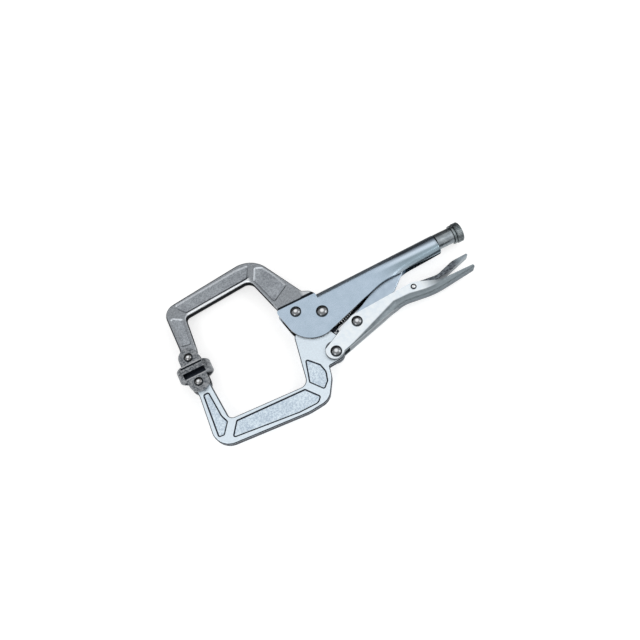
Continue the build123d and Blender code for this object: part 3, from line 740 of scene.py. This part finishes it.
# %% Editing helpers
def pick_faces(piece, wanted):
    """Selects only the faces for which wanted(face) is true, and stays in edit mode."""
    bpy.ops.object.mode_set(mode="EDIT")
    bpy.ops.mesh.select_mode(type="FACE")
    bpy.ops.mesh.select_all(action="DESELECT")
    bpy.ops.object.mode_set(mode="OBJECT")
    for face in piece.data.polygons:
        face.select = wanted(face)
    bpy.ops.object.mode_set(mode="EDIT")


def apply_place():
    """Moves the selected object's place, turn and scale into its mesh."""
    bpy.ops.object.transform_apply(location=True, rotation=True, scale=True)


def close_piece(piece, name, body, material, replaced):
    """Names a finished piece, gives it its finish, and sets it on its body in place of a CAD node."""
    piece.name = name
    piece.data.name = name
    piece.data.materials.clear()
    piece.data.materials.append(material)
    if body:
        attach(piece, body)
    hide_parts(replaced)
    print(name, "has", len(piece.data.polygons), "faces")


print("editing helpers work in", bpy.context.mode, "mode")

# %% [markdown]
# ## Knurled knob
# The knob is a thin flange, a narrow groove and a knurled drum on the screw's line. It could be a
# profile spun round the axis. Here a cylinder becomes the flange, and its end is widened and extruded
# step by step, because that leaves one ring of even faces on the drum for the knurl.

# %% Knob: flange
knob_low, knob_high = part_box("knurled_knob")
knob_axis = Vector((0, (knob_low.y + knob_high.y) / 2, (knob_low.z + knob_high.z) / 2))
knurl_faces = 72
flange_length = 1.7 * MM
flange_radius = 8.8 * MM

knob = add_alone(
    bpy.ops.mesh.primitive_cylinder_add,
    vertices=knurl_faces,
    radius=flange_radius,
    depth=flange_length,
    rotation=(0, math.pi / 2, 0),
    location=(knob_low.x + flange_length / 2, knob_axis.y, knob_axis.z),
)
apply_place()
print("flange", round(flange_radius / MM, 2), "mm in radius")

# %% [markdown]
# The end face is drawn out along the axis and widened about it, first to the groove, then to the
# chamfered drum, and last into a shallow dish. An extrusion that doesn't move leaves a new ring of
# vertices in place, and widening that ring makes a flat shoulder.

# %% Knob: groove, drum and dished end
groove_length = 1.2 * MM
groove_radius = 6.8 * MM
drum_radius = (knob_high.y - knob_low.y) / 2
drum_chamfer = 0.6 * MM
chamfer_radius = drum_radius - drum_chamfer
dish_radius = drum_radius - 2.2 * MM
dish_step = 0.35 * MM
hub_radius = 2.2 * MM
hub_step = 0.25 * MM
knob_length = knob_high.x - knob_low.x
drum_length = knob_length - flange_length - groove_length - 2 * drum_chamfer


def flange_end(face):
    """The flange's end face towards the knob's free side."""
    return face.normal.x > 0.9 and face.center.x > knob_low.x + flange_length - 1e-6


def widen(radius_from, radius_to):
    """Scales the selection about the knob's axis."""
    share = radius_to / radius_from
    bpy.ops.transform.resize(value=(1, share, share), center_override=tuple(knob_axis))


def draw_out(length):
    """Extrudes the selected end along the axis."""
    bpy.ops.mesh.extrude_region_move(TRANSFORM_OT_translate={"value": (length, 0, 0)})


def shoulder(radius_from, radius_to):
    """Extrudes the selected end in place and widens it, which makes a flat ring."""
    bpy.ops.mesh.extrude_region_move()
    widen(radius_from, radius_to)


pick_faces(knob, flange_end)
shoulder(flange_radius, groove_radius)
draw_out(groove_length)
shoulder(groove_radius, chamfer_radius)
draw_out(drum_chamfer)
widen(chamfer_radius, drum_radius)
draw_out(drum_length)
draw_out(drum_chamfer)
widen(drum_radius, chamfer_radius)
shoulder(chamfer_radius, dish_radius)
draw_out(-dish_step)
shoulder(dish_radius, hub_radius)
draw_out(-hub_step)
print("drum", round(drum_radius / MM, 2), "mm in radius,", round(drum_length / MM, 2), "mm long")

# %% [markdown]
# The knurl is a ring of straight grooves that gives fingers a grip. It could be bump in the finish,
# but it shows in the outline, so every second face of the drum is inset and sunk.

# %% Knob: knurl
knurl_depth = 0.5 * MM
knurl_wall = 0.12 * MM
knob_smooth_angle = math.radians(28)
drum_start = knob_low.x + flange_length + groove_length + drum_chamfer


def every_second(face):
    """Every second face round the drum."""
    in_drum = drum_start < face.center.x < drum_start + drum_length
    offset = face.center - knob_axis
    turn_share = math.atan2(offset.z, offset.y) / math.tau * knurl_faces
    return in_drum and abs(face.normal.x) < 0.1 and math.floor(turn_share) % 2 == 0


pick_faces(knob, every_second)
bpy.ops.mesh.inset(thickness=knurl_wall, depth=-knurl_depth, use_individual=True)
bpy.ops.object.mode_set(mode="OBJECT")
bpy.ops.object.shade_smooth_by_angle(angle=knob_smooth_angle)
close_piece(knob, "knob_with_knurl", "knob", knob_steel, "knurled_knob")

# %% [markdown]
# ## Screw thread
# The adjusting screw runs inside the handle and shows when the knob is turned out. A stack of rings
# would look like a thread from afar, but a real thread climbs. The Screw modifier turns one ridge line
# about the axis while it advances by the pitch. The line starts as one vertex and is drawn out point
# by point.

# %% Screw: ridge line
screw_low, screw_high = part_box("adjusting_screw")
pitch = 1.25 * MM
thread_depth = 0.7 * MM
crest_radius = (screw_high.y - screw_low.y) / 2
root_radius = crest_radius - thread_depth
ridge_steps = ((0.14, 0), (0.3, 1), (0.12, 0), (0.3, -1), (0.14, 0))

screw = add_alone(bpy.ops.mesh.primitive_plane_add, size=0.2 * MM)
apply_place()
bpy.ops.object.mode_set(mode="EDIT")
bpy.ops.mesh.select_mode(type="VERT")
bpy.ops.mesh.select_all(action="SELECT")
bpy.ops.mesh.merge(type="CENTER")
bpy.ops.transform.translate(value=(screw_low.x, 0, root_radius))
for advance, rise in ridge_steps:
    step = (advance * pitch, 0, rise * thread_depth)
    bpy.ops.mesh.extrude_region_move(TRANSFORM_OT_translate={"value": step})
bpy.ops.object.mode_set(mode="OBJECT")
print("ridge line of", len(screw.data.vertices), "points")

# %% [markdown]
# The turned ridge is an open tube. Its turns are merged where they meet, its two ends are filled, and
# its faces are turned outwards. Only then is it moved onto the screw's line, because the modifier
# turns about the object's own axis.

# %% Screw: turned thread
thread_turns = int((screw_high.x - screw_low.x) / pitch) - 1
steps_per_turn = 28
merge_distance = 0.001 * MM
thread_smooth_angle = math.radians(35)

thread = screw.modifiers.new("thread", "SCREW")
thread.axis = "X"
thread.screw_offset = pitch
thread.iterations = thread_turns
thread.steps = steps_per_turn
thread.render_steps = steps_per_turn
thread.use_merge_vertices = True
thread.merge_threshold = merge_distance
bpy.ops.object.modifier_apply(modifier="thread")
bpy.ops.object.mode_set(mode="EDIT")
bpy.ops.mesh.select_all(action="SELECT")
bpy.ops.mesh.remove_doubles(threshold=2 * merge_distance)
bpy.ops.mesh.select_all(action="DESELECT")
bpy.ops.mesh.select_mode(type="EDGE")
bpy.ops.mesh.select_non_manifold()
bpy.ops.mesh.fill_holes(sides=0)
bpy.ops.mesh.select_all(action="SELECT")
bpy.ops.mesh.normals_make_consistent(inside=False)
bpy.ops.transform.translate(value=tuple(knob_axis))
bpy.ops.object.mode_set(mode="OBJECT")
bpy.ops.object.shade_smooth_by_angle(angle=thread_smooth_angle)
close_piece(screw, "screw_with_thread", "screw", thread_steel, "adjusting_screw")

# %% [markdown]
# ## Tension spring
# A wound spring pulls between a hole in the moving jaw and a tab under the handle's back. A Screw
# modifier could wind its coil, but not its two hooks. So its whole line, a hook, a helix and a second
# hook, is worked out as points for one smooth NURBS curve. Such a curve cuts inside its points, so the
# helix is wound a little wider.

# %% Spring: its line
wire = 1.0 * MM
coil_radius = 2.5 * MM
hook_radius = 2.0 * MM
hook_run = 5.0 * MM
coil_turns = 19
points_per_turn = 16
near_hook_shares = (0.4, 0.8, 1.1)
far_hook_shares = (-0.1, 0.3, 0.7)
coil_points = coil_turns * points_per_turn
jaw_hook = from_pivot(2.6, -21.2)
anchor_hook = from_pivot(56.0, 8.0)
run_way = (anchor_hook - jaw_hook).normalized()
side_way = Vector((-run_way.y, run_way.x, 0))
span = (anchor_hook - jaw_hook).length
coil_start = hook_run + hook_radius
coil_end = span - 2 * hook_radius - coil_start
far_start = coil_end + hook_radius
far_turn = far_start + hook_run
wound_radius = coil_radius * 3 / (2 + math.cos(math.tau / points_per_turn))


def spring_point(run, side, height):
    """A point by its run along the spring, its side and its height."""
    return jaw_hook + run_way * (run + hook_radius) + side_way * side + Vector((0, 0, height))


line = [spring_point(wire, 0, -hook_radius)]
hook_arc = []
for angle in range(-90, -271, -30):
    bend = math.radians(angle)
    hook_arc.append((hook_radius * math.cos(bend), hook_radius * math.sin(bend)))
line += [spring_point(run, 0, height) for run, height in hook_arc]
line += [spring_point(hook_run * share, 0, hook_radius) for share in near_hook_shares]
for count in range(1, coil_points):
    angle = math.tau * count / points_per_turn
    run = coil_start + (coil_end - coil_start) * count / coil_points
    side = coil_radius - wound_radius * math.cos(angle)
    line.append(spring_point(run, side, -wound_radius * math.sin(angle)))
line += [spring_point(far_start + hook_run * share, 0, -hook_radius) for share in far_hook_shares]
line += [spring_point(far_turn - run, 0, height) for run, height in hook_arc]
line.append(spring_point(far_turn - wire, 0, hook_radius))
print("spring line of", len(line), "points over", round(span / MM, 1), "mm")

# %% [markdown]
# The curve gets the wire's thickness as a round bevel and becomes a mesh. Its end caps are merged to
# the wire.

# %% Spring: its wire
spring_smooth_angle = math.radians(60)

spring = add_alone(bpy.ops.curve.primitive_nurbs_path_add)
spring.data.splines.clear()
route = spring.data.splines.new("NURBS")
route.points.add(len(line) - 1)
for point, place in zip(route.points, line):
    point.co = (*(place - spring.location), 1)
route.order_u = 4
route.use_endpoint_u = True
route.resolution_u = 2
spring.data.dimensions = "3D"
spring.data.bevel_depth = wire / 2
spring.data.bevel_resolution = 3
spring.data.use_fill_caps = True
bpy.ops.object.convert(target="MESH")
apply_place()
spring = bpy.context.object
bpy.ops.object.mode_set(mode="EDIT")
bpy.ops.mesh.select_all(action="SELECT")
bpy.ops.mesh.remove_doubles(threshold=merge_distance)
bpy.ops.mesh.normals_make_consistent(inside=False)
bpy.ops.object.mode_set(mode="OBJECT")
bpy.ops.object.shade_smooth_by_angle(angle=spring_smooth_angle)
close_piece(spring, "wound_spring", None, spring_steel, "tension_spring")
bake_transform(spring)

# %% [markdown]
# ## Floor
# The tool lies on a plain white floor. More light would whiten the floor but also wash out the metal,
# so the floor glows a little for the rays that see it, from the camera or by a reflection, and still
# takes the tool's soft shadow.

# %% Floor
floor_size = 6.0
floor_tone = 0.62
floor_roughness = 0.9
floor_glow = 0.60


def seen_by(tree, *ray_kinds):
    """A socket that is 1 for rays of the kinds named, and 0 for all others."""
    rays = tree.nodes.new("ShaderNodeLightPath")
    result = rays.outputs[ray_kinds[0]]
    for kind in ray_kinds[1:]:
        either = tree.nodes.new("ShaderNodeMath")
        either.operation = "MAXIMUM"
        tree.links.new(result, either.inputs[0])
        tree.links.new(rays.outputs[kind], either.inputs[1])
        result = either.outputs[0]
    return result


def plain_material(name, tone, roughness):
    """A matt grey material for the studio, and its shader."""
    material = bpy.data.materials.new(name)
    material.use_nodes = True
    shader = material.node_tree.nodes["Principled BSDF"]
    shader.inputs["Base Color"].default_value = (tone, tone, tone, 1)
    shader.inputs["Roughness"].default_value = roughness
    return material, shader


floor = add_alone(bpy.ops.mesh.primitive_plane_add, size=floor_size, location=(0, 0, 0))
floor.name = "floor"
paper, paper_shader = plain_material("white_floor", floor_tone, floor_roughness)
glow = paper.node_tree.nodes.new("ShaderNodeMath")
glow.operation = "MULTIPLY"
glow.inputs[1].default_value = floor_glow
seen = seen_by(paper.node_tree, "Is Camera Ray", "Is Glossy Ray")
paper.node_tree.links.new(seen, glow.inputs[0])
paper_shader.inputs["Emission Color"].default_value = (1, 1, 1, 1)
paper.node_tree.links.new(glow.outputs[0], paper_shader.inputs["Emission Strength"])
floor.data.materials.append(paper)
print("floor", floor_size, "m wide")

# %% [markdown]
# ## Dark cards
# Polished metal shows what stands round it, and in a white room its round edges would vanish. A
# photographer puts up dark cards out of the picture. Three do it here: one behind, one on the floor
# and one in front. Only reflections see them, so they throw no shadow.


# %% Dark cards for reflections
def dark_card(name, place, size, turn_x, tone):
    """A card that only reflections see."""
    card = add_alone(
        bpy.ops.mesh.primitive_plane_add, size=1.0, location=place, rotation=(turn_x, 0, 0)
    )
    card.name = name
    card.scale = (*size, 1)
    card.visible_camera = False
    card.visible_diffuse = False
    card.visible_shadow = False
    card.visible_transmission = False
    card.data.materials.append(plain_material(name, tone, 1.0)[0])
    print(name, "is", size[0], "by", size[1], "m")


standing = math.pi / 2
lying = 0
grey_card = 0.18
black_card = 0.05
dark_card("card_behind", (0, 0.45, 0.23), (2.0, 0.46), standing, grey_card)
dark_card("card_on_floor", (0.06, 0.245, 0.0005), (0.9, 0.43), lying, grey_card)
dark_card("card_in_front", (0, -0.34, 0.05), (1.6, 0.10), standing, black_card)

# %% [markdown]
# ## Light
# Two soft square lamps, one stronger on the right and one weaker on the left, round off the shapes.
# Sun lamps would draw hard shadows that a plain studio doesn't have.


# %% Lamps
def soft_light(name, place, size, watts):
    """A square soft light that faces the tool."""
    lamp = add_alone(bpy.ops.object.light_add, type="AREA", location=place)
    lamp.name = name
    lamp.data.size = size
    lamp.data.energy = watts
    lamp.rotation_euler = (-Vector(place)).to_track_quat("-Z", "Y").to_euler()
    print(name, "light of", watts, "W")


soft_light("key", (0.75, -0.20, 0.80), 0.5, 2.2)
soft_light("fill", (-0.6, -0.4, 0.8), 0.4, 1.4)

# %% [markdown]
# The rest of the light comes from a white world all round. It is full white where it is seen or
# mirrored, and dimmer as a light on the tool, so that the tool's colours come out about as they are
# written.

# %% World
world_light = 0.7
world_white = 1.0

world = bpy.data.worlds.new("studio")
bpy.context.scene.world = world
world.use_nodes = True
world_tree = world.node_tree
sky = world_tree.nodes["Background"]
sky.inputs["Color"].default_value = (1, 1, 1, 1)
sky_level = world_tree.nodes.new("ShaderNodeMapRange")
sky_level.inputs["To Min"].default_value = world_light
sky_level.inputs["To Max"].default_value = world_white
seen = seen_by(world_tree, "Is Camera Ray", "Is Glossy Ray", "Is Transmission Ray")
world_tree.links.new(seen, sky_level.inputs["Value"])
world_tree.links.new(sky_level.outputs[0], sky.inputs["Strength"])
bpy.context.scene.view_settings.view_transform = "Standard"
print("world lights at", world_light, "and shows as", world_white)
